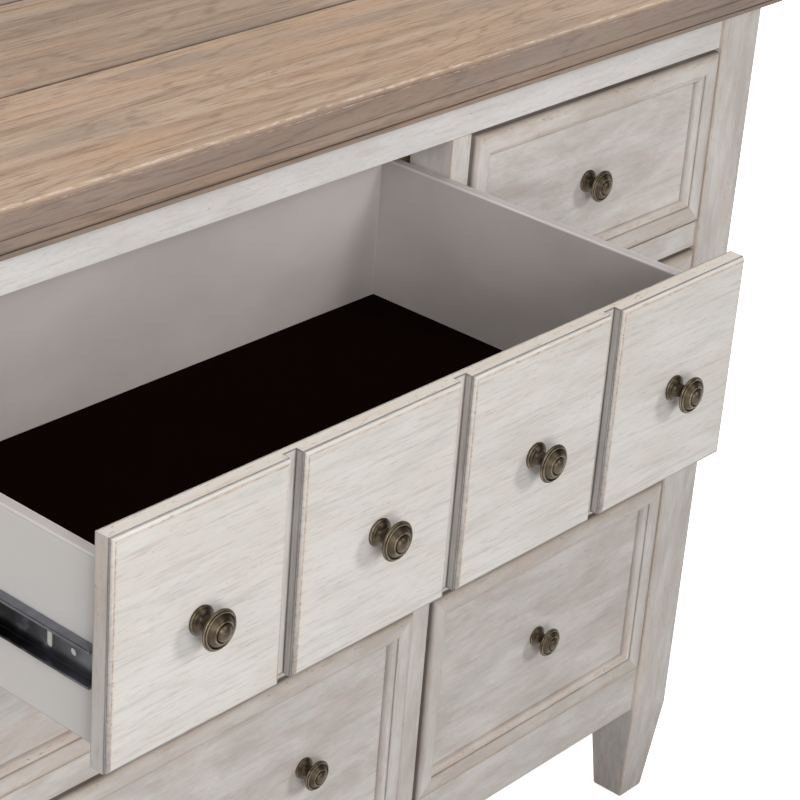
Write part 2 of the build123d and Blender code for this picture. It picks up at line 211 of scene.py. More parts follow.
def weatheredOak(name, look):
    fin = Finish(name)
    grain = fin.attribute("grain", "Vector")
    arris = fin.attribute("arris")
    glazeAndShade = fin.attribute("glazeAndShade")
    figure = fin.noise(grain, look["figureSize"], 2, 0.42, 0.25)
    drift = fin.noise(grain, look["driftSize"], 3, 0.5)
    tints = fin.noise(grain, look["tintSize"], 3, 0.55)
    bands = fin.noise(grain, look["bandSize"], 5, 0.6, 0.3)
    fibres = fin.noise(grain, look["fibreSize"], 5, 0.68)
    pores = fin.noise(grain, look["poreSize"], 4, 0.65)
    chips = fin.noise(grain, look["chipSize"], 4, 0.7)

    # Late wood follows the figure's contours.
    rings = fin.maths("SINE", (figure + bands * look["ringWander"]) * look["rings"], 0.0)
    lateWood = fin.span(rings, 0.45, 1.0) * fin.span(fibres, 0.40, 0.60)
    darkFibres = fin.span(fibres, 0.50, 0.72) * (0.25 + bands * 0.7)
    openPores = fin.span(pores, 0.52, 0.70) * (0.2 + fibres * 0.8)
    darkened = fin.span(glazeAndShade * (0.6 + fibres * 0.8), 0.05, 0.8)
    wornAndLit = fin.span(arris + (chips - 0.5) * look["chipSwing"], 0.62, 0.92)

    colour = fin.blend(fin.span(bands, 0.32, 0.68), look["mid"], look["pale"])
    colour = fin.blend(fin.span(tints, 0.48, 0.72) * look["warmShare"], colour, look["warm"])
    colour = fin.blend(fin.span(drift, 0.48, 0.70) * look["greyShare"], colour, look["grey"])
    colour = fin.blend(lateWood * look["ringShare"], colour, look["brown"])
    colour = fin.blend(darkFibres * look["fibreShare"], colour, look["brown"])
    colour = fin.blend(openPores * look["poreShare"], colour, look["pore"])
    # The stain colour darkens plank tones and, as painted shade, the top's upright faces; the joint colour
    # darkens the V joints and, as painted shade, the line under the top and the moulding's quirk.
    colour = fin.blend(fin.attribute("faceMark") * look["stainAndShadeShare"], colour, look["stainAndShade"])
    colour = fin.blend(darkened * look["jointAndShadeShare"], colour, look["joint"])
    # Worn edges, and the painted highlight on the front line of each V joint.
    colour = fin.blend(wornAndLit * look["wornAndLitShare"], colour, look["wornAndLit"])
    fin.put(Base_Color=colour, Roughness=0.52 + fibres * 0.2, Specular_IOR_Level=0.28)
    fin.relief(fibres * 0.5 + pores * 0.6 - chips * arris, strength=0.4, depth=0.0005)
    return fin.material


lacquer = dict(
    pale=tone(208, 200, 197), deep=tone(194, 186, 182), edge=tone(228, 224, 220),
    litOutside=tone(244, 241, 238), mottleSize=(6, 9, 9), peelSize=(420, 420, 420), edgeHighlightShare=0.9,
)


def drawerLacquer(name, look):
    fin = Finish(name)
    grain = fin.attribute("grain", "Vector")
    mottle = fin.noise(grain, look["mottleSize"], 4, 0.55)
    peel = fin.noise(grain, look["peelSize"], 2, 0.5)
    edge = fin.span(fin.attribute("arris"), 0.2, 0.9)
    colour = fin.blend(fin.span(mottle, 0.3, 0.7), look["pale"], look["deep"])
    # The outside of a drawer box is painted paler than the inside, a painted light, and the rounded edges
    # paler still, a painted highlight.
    colour = fin.blend(fin.attribute("faceMark"), colour, look["litOutside"])
    colour = fin.blend(edge * look["edgeHighlightShare"], colour, look["edge"])
    fin.put(Base_Color=colour, Roughness=0.42 + mottle * 0.12, Specular_IOR_Level=0.35)
    fin.relief(peel, strength=0.08, depth=0.0004)
    return fin.material


board = dict(
    pale=tone(190, 163, 132), deep=tone(174, 146, 115), fleck=tone(128, 102, 79),
    bandSize=(2.5, 60, 60), poreSize=(30, 700, 700), fleckShare=0.5,
)


def plainBoard(name, look):
    fin = Finish(name)
    grain = fin.attribute("grain", "Vector")
    bands = fin.noise(grain, look["bandSize"], 5, 0.6, 0.4)
    pores = fin.noise(grain, look["poreSize"], 3, 0.6)
    colour = fin.blend(fin.span(bands, 0.35, 0.68), look["pale"], look["deep"])
    colour = fin.blend(fin.span(pores, 0.58, 0.76) * look["fleckShare"], colour, look["fleck"])
    fin.put(Base_Color=colour, Roughness=0.62 + bands * 0.15, Specular_IOR_Level=0.25)
    fin.relief(bands * 0.5 + pores * 0.5, strength=0.3, depth=0.0004)
    return fin.material


brass = dict(
    dark=tone(66, 57, 46), mid=tone(88, 79, 66), bright=tone(121, 110, 92), pit=tone(50, 43, 35),
    cloudSize=(120, 120, 120), gritSize=(900, 900, 900), cloudSwing=1.2, brightShare=0.8, pitShare=0.75,
)


def antiqueBrass(name, look):
    fin = Finish(name)
    where = fin.place()
    cloud = fin.noise(where, look["cloudSize"], 4, 0.6)
    grit = fin.noise(where, look["gritSize"], 3, 0.6)
    rub = fin.span(fin.attribute("arris") + (cloud - 0.5) * look["cloudSwing"], 0.60, 1.15)
    colour = fin.blend(fin.span(cloud, 0.35, 0.7), look["dark"], look["mid"])
    colour = fin.blend(rub * look["brightShare"], colour, look["bright"])
    colour = fin.blend(fin.attribute("glazeAndShade") * look["pitShare"], colour, look["pit"])
    fin.put(Base_Color=colour, Metallic=1.0, Roughness=0.30 + grit * 0.16 + cloud * 0.1)
    fin.relief(grit * 0.5 + cloud, strength=0.1, depth=0.0003)
    return fin.material


steel = dict(
    black=tone(22, 22, 25), grey=tone(70, 74, 84), paintedGlint=tone(146, 149, 158),
    filmSize=(60, 60, 60), spotSize=(1400, 1400, 1400), greyShare=0.5, glintShare=0.6, edgeHighlightShare=0.6,
)


def blackSteel(name, look):
    fin = Finish(name)
    where = fin.place()
    film = fin.noise(where, look["filmSize"], 4, 0.6)
    spots = fin.noise(where, look["spotSize"], 2, 0.5)
    edge = fin.span(fin.attribute("arris"), 0.4, 1.0)
    colour = fin.blend(fin.span(film, 0.40, 0.62) * look["greyShare"], look["black"], look["grey"])
    # Painted reflection and highlight: a pale mottle on the black, grey along the rounded edges, and paler on
    # the marked upper race and front end.
    colour = fin.blend(fin.span(film, 0.56, 0.74) * look["glintShare"], colour, look["paintedGlint"])
    colour = fin.blend(edge * look["edgeHighlightShare"], colour, look["grey"])
    colour = fin.blend(fin.attribute("faceMark") * (0.4 + film * 0.7), colour, look["paintedGlint"])
    fin.put(Base_Color=colour, Metallic=0.75, Roughness=0.16 + spots * 0.14)
    fin.relief(spots, strength=0.08, depth=0.0002)
    return fin.material


felt = dict(deep=tone(15, 3, 1), fibre=tone(36, 14, 8), fuzzSize=(900, 900, 900), patchSize=(14, 14, 14))


def brownFelt(name, look):
    fin = Finish(name)
    where = fin.place()
    fuzz = fin.noise(where, look["fuzzSize"], 4, 0.7)
    patch = fin.noise(where, look["patchSize"], 3, 0.5)
    colour = fin.blend(fin.span(fuzz, 0.5, 0.8) * 0.5 + patch * 0.2, look["deep"], look["fibre"])
    fin.put(Base_Color=colour, Roughness=0.95, Specular_IOR_Level=0.02)
    fin.relief(fuzz, strength=0.6, depth=0.0006)
    return fin.material


finishes = {
    "casePaint": paintedWood("casePaint", casePaint),
    "frontPaint": paintedWood("openFrontPaint", frontPaint),
    "oak": weatheredOak("weatheredOak", oak),
    "lacquer": drawerLacquer("drawerLacquer", lacquer),
    "board": plainBoard("plainBoard", board),
    "brass": antiqueBrass("antiqueBrass", brass),
    "steel": blackSteel("blackSteel", steel),
    "felt": brownFelt("brownFelt", felt),
}
print("finishes ready:", len(finishes))


# Mesh helpers. Every mesh carries four layers: the place along and across the wood; how close a point is to
# an edge, where wear rubs and where some finishes paint a highlight; how much darker the colour turns there,
# from dark glaze and from painted shade in corners, gaps and recesses; and a mark on each face: paint kept
# from wear, a rail painted lighter as painted light, oak that kept its dark stain or takes painted shade on
# its upright faces, the outside of a drawer box painted paler as painted light, the painted highlight on a
# slide.

def addLayers(bm):
    bm.verts.layers.float.new("arris")
    bm.verts.layers.float.new("glazeAndShade")
    bm.loops.layers.float_vector.new("grain")
    bm.loops.layers.float.new("faceMark")
    return bm


def newMesh():
    return addLayers(bmesh.new())


def addBlock(bm, low, high):
    verts = bmesh.ops.create_cube(bm, size=1)["verts"]
    bmesh.ops.scale(bm, vec=Vector(high) - Vector(low), verts=verts)
    bmesh.ops.translate(bm, vec=(Vector(low) + Vector(high)) / 2, verts=verts)


def cadCopy(node):
    bm = bmesh.new()
    bm.from_mesh(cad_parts[node].data)
    addLayers(bm)
    bmesh.ops.remove_doubles(bm, verts=bm.verts, dist=1e-6)
    bmesh.ops.dissolve_limit(bm, angle_limit=radians(1), verts=bm.verts, edges=bm.edges)
    return bm


def drawOut(bm, face):  # extrudes a face, and gives the new corners to move
    made = bmesh.ops.extrude_face_region(bm, geom=[face])["geom"]
    return [part for part in made if isinstance(part, bmesh.types.BMVert)]


def cutThrough(bm, place, facing):
    bmesh.ops.bisect_plane(bm, geom=bm.verts[:] + bm.edges[:] + bm.faces[:], dist=1e-7,
                           plane_co=place, plane_no=facing)


def bevelEdges(bm, edges, width, segments):
    return bmesh.ops.bevel(bm, geom=edges, offset=width, offset_type="OFFSET", segments=segments,
                           profile=0.5, affect="EDGES", clamp_overlap=True, material=-1)["faces"]


easing = dict(sharpAngle=20, insetShare=0.3, borderWear=0.45)


def easeAll(bm, width, spread, segments=2, wear=1.0):
    # Rounds every sharp edge and leaves a narrow border on each flat, so that wear can fade out across it.
    arris = bm.verts.layers.float["arris"]
    limit = radians(easing["sharpAngle"])
    sharp = [edge for edge in bm.edges if edge.is_manifold and edge.calc_face_angle() > limit]
    eased = set(bevelEdges(bm, sharp, width, segments))
    for face in [face for face in bm.faces if face not in eased]:
        shortest = min(edge.calc_length() for edge in face.edges)
        border = min(spread, easing["insetShare"] * shortest)
        bmesh.ops.inset_individual(bm, faces=[face], thickness=border, use_even_offset=True)
    for vert in bm.verts:
        rounded = [face in eased for face in vert.link_faces]
        vert[arris] = wear * (1.0 if all(rounded) else easing["borderWear"] if any(rounded) else 0.0)


def inMetres(loops):
    return [(inset * mm, back * mm, wornAndLit, darkened) for inset, back, wornAndLit, darkened in loops]


def quarterRound(steps):  # shares and angles of a quarter turn, without its start
    return [(step / steps, step / steps * pi / 2) for step in range(1, steps + 1)]


def sinkRings(bm, face, loops):
    # Each loop: how far in from the outline, how far back, its arris and how much darker it turns, by glaze
    # and by painted shade.
    arris = bm.verts.layers.float["arris"]
    glazeAndShade = bm.verts.layers.float["glazeAndShade"]
    for vert in face.verts:
        vert[arris], vert[glazeAndShade] = loops[0][2:]
    for (inset, back, *_), (nextInset, nextBack, wornAndLit, darkened) in zip(loops, loops[1:]):
        bmesh.ops.inset_region(bm, faces=[face], thickness=nextInset - inset, depth=back - nextBack,
                               use_even_offset=True)
        for vert in face.verts:
            vert[arris] = wornAndLit
            vert[glazeAndShade] = darkened


def layGrain(bm, pick, shift):
    # pick gives the axis that the grain follows on a face.
    grain = bm.loops.layers.float_vector["grain"]
    for face in bm.faces:
        along = pick(face)
        first, second = [axis for axis in range(3) if axis != along]
        for loop in face.loops:
            place = loop.vert.co
            loop[grain] = (place[along] + shift, place[first], place[second])


def longestWay(face):
    longest = max(face.edges, key=lambda edge: edge.calc_length())
    run = longest.verts[1].co - longest.verts[0].co
    return max(range(3), key=lambda axis: abs(run[axis]))


def alongX(face):
    return 0


def alongZ(face):
    return 2


def markFace(bm, face, share):
    faceMark = bm.loops.layers.float["faceMark"]
    for loop in face.loops:
        loop[faceMark] = share


def arcPoints(centre, radius, start, end, steps):  # a round stretch, angles in degrees
    turns = [radians(start + (end - start) * step / steps) for step in range(steps + 1)]
    return [(centre[0] + radius * cos(turn), centre[1] + radius * sin(turn)) for turn in turns]


def finishPiece(name, bm, finish, body, stands=(), sharp=40):
    mesh = bpy.data.meshes.new(name)
    bm.normal_update()
    bm.to_mesh(mesh)
    bm.free()
    mesh.polygons.foreach_set("use_smooth", [True] * len(mesh.polygons))
    mesh.set_sharp_from_angle(angle=radians(sharp))
    mesh.materials.append(finishes[finish])
    piece = bpy.data.objects.new(name, mesh)
    bpy.context.scene.collection.objects.link(piece)
    piece.modifiers.new("flatNormals", "WEIGHTED_NORMAL").keep_sharp = True
    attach(piece, body)
    if stands:
        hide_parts(*stands)
    return piece


# Framed drawer fronts. Lengths in the settings of all pieces are in mm, unless a note says otherwise.

framedFront = dict(
    outerRound=4.0, border=20.5, quirkWidth=0.8, quirkDepth=1.5, sticking=5.2, fieldDepth=10.0,
    roundSteps=5, stickingSteps=7, draft=0.12, stileMark=0.35, sharp=32,
)


def frontFace(bm):
    return min(bm.faces, key=lambda face: face.calc_center_median().y)


# The last number of each loop darkens the paint: painted shade in the gap round the front, in the quirk and
# at the foot of the field's wall, together with some dark glaze.
def framedLoops(size):
    radius, border, sticking = size["outerRound"], size["border"], size["sticking"]
    quirk, quirkDepth = border + size["quirkWidth"], size["quirkDepth"]
    wall, fieldDepth = quirk + sticking + size["draft"], size["fieldDepth"]
    loops = [(0.0, radius, 0.0, 1.0)]
    for share, turn in quarterRound(size["roundSteps"]):
        loops.append((radius * (1 - cos(turn)), radius * (1 - sin(turn)),
                      0.48 * share, 1.0 - 0.72 * share))
    loops += [
        (radius + 2.5, 0.0, 0.34, 0.12),
        (radius + 6.0, 0.0, 0.2, 0.0),
        (border - 2.5, 0.0, 0.2, 0.05),
        (border, 0.0, 0.45, 0.2),
        (border + size["draft"], quirkDepth, 0.0, 0.7),
        (quirk, quirkDepth, 0.0, 0.6),
    ]
    for share, turn in quarterRound(size["stickingSteps"]):
        loops.append((quirk + sticking * sin(turn), quirkDepth + sticking * (1 - cos(turn)),
                      sin(share * pi) * 0.4, 0.3 * abs(1 - 2 * share) ** 2))
    loops += [
        (wall, fieldDepth, 0.0, 0.55),
        (wall + 1.2, fieldDepth, 0.0, 0.2),
        (wall + 5.0, fieldDepth, 0.0, 0.05),
        (wall + 22.0, fieldDepth, 0.0, 0.0),
    ]
    return inMetres(loops)


def makeFramedFront(name, body, shift):
    low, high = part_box(f"{name}_front")
    loops = framedLoops(framedFront)
    bm = newMesh()
    addBlock(bm, (low.x, low.y + loops[0][1], low.z), high)
    sinkRings(bm, frontFace(bm), loops)
    fieldY = low.y + framedFront["fieldDepth"] * mm

    def onField(face):
        return abs(face.calc_center_median().y - fieldY) < 10 * hair

    layGrain(bm, lambda face: 0 if onField(face) else longestWay(face), shift)
    for face in bm.faces:
        if longestWay(face) == 2 and not onField(face):
            markFace(bm, face, framedFront["stileMark"])
    finishPiece(f"{name}_framed_front", bm, "casePaint", body, [f"{name}_front"],
                framedFront["sharp"])


# The open drawer's front: four raised panels on a board, with a channel behind each gap between them

panelledFront = dict(
    panelCount=4, panelRaise=3.2, panelRound=2.4, panelStep=0.8, panelSeat=0.4, roundSteps=6, sharp=32,
    channelWidth=13.7, channelDepth=9.7, boardRound=3.0, boardSteps=6, grainStep=0.9,  # grainStep in metres
    cornerBand=1.7, jointLine=1.4, endBorder=0.8, topWear=0.42,
    frontShade=0.8, wallShade=0.58, cornerShade=1.0, floorShade=0.3,
    faceMark=dict(left=0.0, top=0.12, right=0.6, bottom=1.0),  # how far a panel's edges were kept from rubbing
    edgeShade=dict(left=1.0, top=0.3, right=0.6, bottom=0.9),  # how much painted shade each edge takes
)


# The panel's rounding takes painted shade, with some dark glaze; how much on each side is set in the settings
# above.
def panelLoops(size):
    radius = size["panelRound"]
    loops = [(0.0, radius, 0.0, 0.8)]
    for share, turn in quarterRound(size["roundSteps"]):
        loops.append((radius * (1 - cos(turn)), radius * (1 - sin(turn)),
                      share ** 3, 0.72 - 0.24 * share ** 4))
    loops += [(radius + 0.5, 0.0, 0.85, 0.0), (radius + 1.8, 0.0, 0.2, 0.0), (radius + 9.0, 0.0, 0.0, 0.0)]
    return inMetres(loops)


def markPanelEdges(bm, middle, half, size):
    # The side of the panel that a face or a point lies nearest to settles its wear and its painted shade.
    glazeAndShade = bm.verts.layers.float["glazeAndShade"]

    def nearest(place):
        across, upward = (place.x - middle.x) / half.x, (place.z - middle.z) / half.z
        if abs(across) > abs(upward):
            return "right" if across > 0 else "left"
        return "top" if upward > 0 else "bottom"

    for face in bm.faces:
        markFace(bm, face, size["faceMark"][nearest(face.calc_center_median())])
    for vert in bm.verts:
        vert[glazeAndShade] *= size["edgeShade"][nearest(vert.co)]


def makeFrontBoard(name, body, shift, channels):
    # The board's plan, with its channels, drawn up to its full height.
    low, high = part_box(f"{name}_front")
    size = panelledFront
    boardFront = low.y + size["panelRaise"] * mm
    channelFloor = low.y + size["channelDepth"] * mm
    channelWidth = size["channelWidth"] * mm
    plan = [(low.x, high.y), (low.x, boardFront)]
    for start in channels:
        end = start + channelWidth
        plan += [(start, boardFront), (start, channelFloor), (end, channelFloor), (end, boardFront)]
    plan += [(high.x, boardFront), (high.x, high.y)]
    bm = newMesh()
    base = bm.faces.new([bm.verts.new((x, y, low.z)) for x, y in plan])
    bmesh.ops.translate(bm, vec=(0, 0, high.z - low.z), verts=drawOut(bm, base))
    bmesh.ops.recalc_face_normals(bm, faces=bm.faces)
    back = [edge for edge in bm.edges if all(vert.co.y > high.y - hair for vert in edge.verts)]
    bevelEdges(bm, back, size["boardRound"] * mm, size["boardSteps"])

    # Painted shade, with some glaze, gathers in the inner corners of the channels and fades out across their
    # walls and floor; the board's face where the panels stand on it is darkened too.
    def inChannel(face):
        middle = face.calc_center_median()
        return boardFront < middle.y < channelFloor + hair and low.x + mm < middle.x < high.x - mm

    bm.normal_update()
    sunk = [face for face in bm.faces if abs(face.normal.z) < 0.5 and inChannel(face)]
    ends = [face for face in bm.faces if abs(face.normal.z) > 0.9]
    bmesh.ops.inset_individual(bm, faces=sunk, thickness=size["cornerBand"] * mm, use_even_offset=True)
    bmesh.ops.inset_individual(bm, faces=ends, thickness=size["endBorder"] * mm, use_even_offset=True)
    cutThrough(bm, (0, boardFront + size["jointLine"] * mm, 0), (0, 1, 0))
    arris = bm.verts.layers.float["arris"]
    glazeAndShade = bm.verts.layers.float["glazeAndShade"]
    walls = [start + away for start in channels for away in (0.0, channelWidth)]
    for vert in bm.verts:
        atFront = vert.co.y < boardFront + hair
        onFloor = abs(vert.co.y - channelFloor) < hair
        if vert.co.z > high.z - hair:
            vert[arris] = size["topWear"]
        if min(abs(vert.co.x - wall) for wall in walls) < hair:
            vert[glazeAndShade] = size["cornerShade" if onFloor else "frontShade" if atFront else "wallShade"]
        elif atFront:
            vert[glazeAndShade] = size["frontShade"]
        elif onFloor:
            vert[glazeAndShade] = size["floorShade"]
    layGrain(bm, longestWay, shift)
    finishPiece(f"{name}_front_board", bm, "frontPaint", body, [f"{name}_front"])


def makePanelledFront(name, body, shift):
    low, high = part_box(f"{name}_front")
    size = panelledFront
    boardFront = low.y + size["panelRaise"] * mm
    gap = (size["channelWidth"] + 2 * size["panelStep"]) * mm
    step = size["panelStep"] * mm
    panelWidth = (high.x - low.x - 2 * step - (size["panelCount"] - 1) * gap) / size["panelCount"]
    lefts = [low.x + step + index * (panelWidth + gap) for index in range(size["panelCount"])]
    makeFrontBoard(name, body, shift, [left + panelWidth + step for left in lefts[:-1]])
    loops = panelLoops(size)
    for index, left in enumerate(lefts):
        bm = newMesh()
        panelLow = Vector((left, low.y, low.z + step))
        panelHigh = Vector((left + panelWidth, boardFront + size["panelSeat"] * mm, high.z - step))
        addBlock(bm, panelLow + Vector((0, loops[0][1], 0)), panelHigh)
        sinkRings(bm, frontFace(bm), loops)
        layGrain(bm, alongX, shift + size["grainStep"] * index)
        markPanelEdges(bm, (panelLow + panelHigh) / 2, (panelHigh - panelLow) / 2, size)
        finishPiece(f"{name}_panel_{index + 1}", bm, "frontPaint", body, (), size["sharp"])


# Knobs

knob = dict(
    baseRadius=11.4, baseHeight=3.6, baseBead=0.36, shoulderIn=2.1, neckRadius=5.6,  # baseBead: of the height
    headRadius=16.0, headStart=14.2, rimRise=4.1, projection=27.0, rimBead=1.25, innerBead=0.85,
    ringRadius=8.3, ringBead=0.9, domeRadius=6.7, domeHeight=3.0, turns=72, merge=0.004, sharp=50,
)


def knobOutline(size):
    # Radius from the axis, distance out from the front, arris, glaze; from the seat to the tip.
    def rounded(wornAndLit, darkened, *arc):
        return [(r, out, wornAndLit, darkened) for r, out in arcPoints(*arc)]

    bead = size["baseHeight"] * size["baseBead"]
    shoulder = size["baseRadius"] - size["shoulderIn"]
    outline = [(0.0, 0.0, 0.0, 0.0)]
    outline += rounded(0.9, 0.0, (size["baseRadius"] - bead, bead), bead, -90, 75, 8)
    outline.append((shoulder + 0.35, size["baseHeight"] - 0.75, 0.0, 1.0))  # groove above the base

    # The neck is one hollow, from the base to the underside of the head.
    waist = (size["baseHeight"] + size["headStart"]) / 2
    halfRun = (size["headStart"] - size["baseHeight"]) / 2
    sag = shoulder - size["neckRadius"]
    hollow = (halfRun ** 2 + sag ** 2) / (2 * sag)
    swing = degrees(atan2(halfRun, hollow - sag))
    outline += rounded(0.25, 0.1, (size["neckRadius"] + hollow, waist), hollow, 180 + swing, 180 - swing, 14)

    # The head: a rim bead, a smaller one inside it, a dished face, a ring and a dome.
    rim = (size["headRadius"] - size["rimBead"], size["headStart"] + size["rimRise"])
    inner = (rim[0] - 0.95, rim[1] + 1.5)
    ring = (size["ringRadius"], size["projection"] - size["domeHeight"] - 1.0)
    outline.append((shoulder + 3.4, size["headStart"] + 1.5, 0.35, 0.0))
    outline.append((rim[0] - 0.5, rim[1] - 1.35, 0.45, 0.0))
    outline += rounded(0.95, 0.0, rim, size["rimBead"], -70, 70, 8)
    outline.append((rim[0] - 0.25, rim[1] + 1.0, 0.0, 1.0))
    outline += rounded(0.95, 0.0, inner, size["innerBead"], -15, 115, 6)
    outline.append((inner[0] - 1.0, inner[1] - 0.05, 0.0, 0.9))
    outline.append((ring[0] + 1.9, ring[1] - 0.55, 0.1, 0.35))
    outline.append((ring[0] + 1.1, ring[1] - 0.2, 0.0, 0.7))
    outline += rounded(0.9, 0.0, ring, size["ringBead"], 10, 165, 7)
    outline.append((size["domeRadius"] + 0.35, ring[1] - 0.25, 0.0, 1.0))
    bulge = (size["domeRadius"] ** 2 + size["domeHeight"] ** 2) / (2 * size["domeHeight"])
    start = degrees(atan2(bulge - size["domeHeight"], size["domeRadius"]))
    dome = arcPoints((0.0, size["projection"] - bulge), bulge, start, 90, 9)
    outline += [(r, out, 0.2 + 0.4 * index / len(dome), 0.0) for index, (r, out) in enumerate(dome)]
    return outline


def makeKnobs(name, body, count):
    low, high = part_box(f"{name}_knobs")
    radius = knob["headRadius"] * mm
    middle = (low.z + high.z) / 2
    first, last = low.x + radius, high.x - radius
    outline = knobOutline(knob)
    bm = newMesh()
    arris = bm.verts.layers.float["arris"]
    glazeAndShade = bm.verts.layers.float["glazeAndShade"]
    for index in range(count):
        x = first + (last - first) * (index / (count - 1) if count > 1 else 0.5)
        points = []
        for r, out, wornAndLit, darkened in outline:
            vert = bm.verts.new((x + r * mm, high.y - out * mm, middle))
            vert[arris] = wornAndLit
            vert[glazeAndShade] = darkened
            points.append(vert)
        edges = [bm.edges.new(pair) for pair in zip(points, points[1:])]
        bmesh.ops.spin(bm, geom=points + edges, cent=(x, 0, middle), axis=(0, 1, 0), dvec=(0, 0, 0),
                       angle=2 * pi, steps=knob["turns"], use_merge=True, use_duplicate=False)
    bmesh.ops.remove_doubles(bm, verts=bm.verts, dist=knob["merge"] * mm)
    bmesh.ops.recalc_face_normals(bm, faces=bm.faces)
    finishPiece(f"{name}_turned_knobs", bm, "brass", body, [f"{name}_knobs"], knob["sharp"])


# Drawer boxes, with the felt in the open one

drawerBox = dict(wall=11.0, floorRise=10.5, floorThickness=5.0, tongue=4.0, ease=1.6, spread=2.0, segments=3)


def makeBox(name, body, shift):
    low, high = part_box(f"{name}_box")
    wall = drawerBox["wall"] * mm
    tongue = drawerBox["tongue"] * mm
    floorTop = low.z + drawerBox["floorRise"] * mm
    floorBase = floorTop - drawerBox["floorThickness"] * mm
    inner, outer = low + Vector((wall, wall, 0)), high - Vector((wall, wall, 0))
    boards = [
        ((low.x, low.y, low.z), (inner.x, high.y, high.z)),
        ((outer.x, low.y, low.z), (high.x, high.y, high.z)),
        ((inner.x, low.y, low.z), (outer.x, inner.y, high.z)),
        ((inner.x, outer.y, low.z), (outer.x, high.y, high.z)),
        ((inner.x - tongue, inner.y - tongue, floorBase), (outer.x + tongue, outer.y + tongue, floorTop)),
    ]
    bm = newMesh()
    for boardLow, boardHigh in boards:
        addBlock(bm, boardLow, boardHigh)
    easeAll(bm, drawerBox["ease"] * mm, drawerBox["spread"] * mm, drawerBox["segments"])
    layGrain(bm, longestWay, shift)
    # The outer faces of the sides are marked, and the lacquer paints them paler as painted light.
    for face in bm.faces:
        middle = face.calc_center_median()
        if min(middle.x - low.x, high.x - middle.x) < hair:
            markFace(bm, face, 1.0)
    finishPiece(f"{name}_drawer_box", bm, "lacquer", body, [f"{name}_box"])


feltSheet = dict(thickness=1.3, ripple=0.12, cells=(96, 52), ripples=(31, 23), swell=(11, 17))


def makeFelt(body):
    low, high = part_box("felt_liner")
    size = high - low
    bm = newMesh()
    across, deep = feltSheet["cells"]
    verts = bmesh.ops.create_grid(bm, x_segments=across, y_segments=deep, size=0.5)["verts"]
    bmesh.ops.scale(bm, vec=(size.x, size.y, 1), verts=verts)
    bmesh.ops.translate(bm, vec=((low.x + high.x) / 2, (low.y + high.y) / 2, low.z), verts=verts)
    rippleX, rippleY = feltSheet["ripples"]
    swellX, swellY = feltSheet["swell"]
    for vert in bm.verts:
        x, y = vert.co.xy
        wave = sin(x * rippleX) * cos(y * rippleY) + sin(x * swellX + y * swellY)
        vert.co.z += feltSheet["ripple"] * mm * (1 + wave / 2)
    piece = finishPiece("felt_sheet", bm, "felt", body, ["felt_liner"])
    thick = piece.modifiers.new("thickness", "SOLIDIFY")
    thick.thickness = feltSheet["thickness"] * mm
    thick.offset = 1.0


# Telescopic slides. The upper race and the front end are painted paler, a painted highlight.

slide = dict(ease=0.35, spread=0.15, race=3.4, shine=(16.0, 40.0, 72.0), shineShare=0.85)


def makeSlide(node, name, body):
    bm = cadCopy(node)
    easeAll(bm, slide["ease"] * mm, slide["spread"] * mm)
    low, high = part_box(node)
    for back in slide["shine"]:
        cutThrough(bm, (0, low.y + back * mm, 0), (0, 1, 0))
    faceMark = bm.loops.layers.float["faceMark"]
    reach = slide["shine"][-1] * mm
    for face in bm.faces:
        lit = face.calc_center_median().z > high.z - slide["race"] * mm
        for loop in face.loops:
            near = max(0.0, 1 - (loop.vert.co.y - low.y) / reach)
            loop[faceMark] = 1.0 if lit else slide["shineShare"] * near
    finishPiece(name, bm, "steel", body, [node])


# Case

post = dict(ease=2.4, spread=6.0, segments=3, wear=0.5, taperHeight=118.0, footSize=40.0, footDarkening=0.42,
            darkeningRise=2.5)
postNodes = ("front_left_post", "front_right_post", "back_left_post", "back_right_post")


def makePost(node, shift):
    low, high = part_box(node)
    middle = (low + high) / 2
    shoulder = low.z + post["taperHeight"] * mm
    shrink = post["footSize"] * mm / (high.x - low.x)
    axis = Matrix.Translation((-middle.x, -middle.y, 0))
    bm = newMesh()
    addBlock(bm, (low.x, low.y, shoulder), high)
    base = min(bm.faces, key=lambda face: face.calc_center_median().z)
    foot = drawOut(bm, base)
    bmesh.ops.delete(bm, geom=[base], context="FACES_ONLY")
    bmesh.ops.translate(bm, vec=(0, 0, low.z - shoulder), verts=foot)
    bmesh.ops.scale(bm, vec=(shrink, shrink, 1), space=axis, verts=foot)
    easeAll(bm, post["ease"] * mm, post["spread"] * mm, post["segments"], post["wear"])
    glazeAndShade = bm.verts.layers.float["glazeAndShade"]
    # The paint turns darker down the tapered foot, towards the floor.
    for vert in bm.verts:
        down = max(0.0, (shoulder - vert.co.z) / (shoulder - low.z))
        vert[glazeAndShade] = post["footDarkening"] * min(1.0, down * post["darkeningRise"])
    layGrain(bm, alongZ, shift)
    finishPiece(f"{node}_turned_out", bm, "casePaint", "case", [node])


caseBoards = {
    # node: grain, edge rounding, how far wear spreads, finish, slot
    "front_rails": (alongX, 0.9, 5.0, "casePaint", "painted_wood"),
    "divider_stiles": (alongZ, 0.9, 5.0, "casePaint", "painted_wood"),
    "side_frames": (longestWay, 0.9, 5.0, "casePaint", "painted_wood"),
    "partitions": (alongZ, 0.6, 3.0, "board", "case_interior"),
    "bottom_panel": (alongX, 0.6, 3.0, "board", "case_interior"),
    "back_panel": (alongX, 0.6, 2.0, "board", "case_interior"),
    "slide_cleats": (longestWay, 0.6, 3.0, "board", "case_interior"),
}
caseWear = dict(wear=0.5, boardGrain=0.7, postGrain=1.3)  # grain steps in metres
railShadeAndLight = dict(revealStart=0.7, revealShade=0.9, lightenedAbove=920.0)


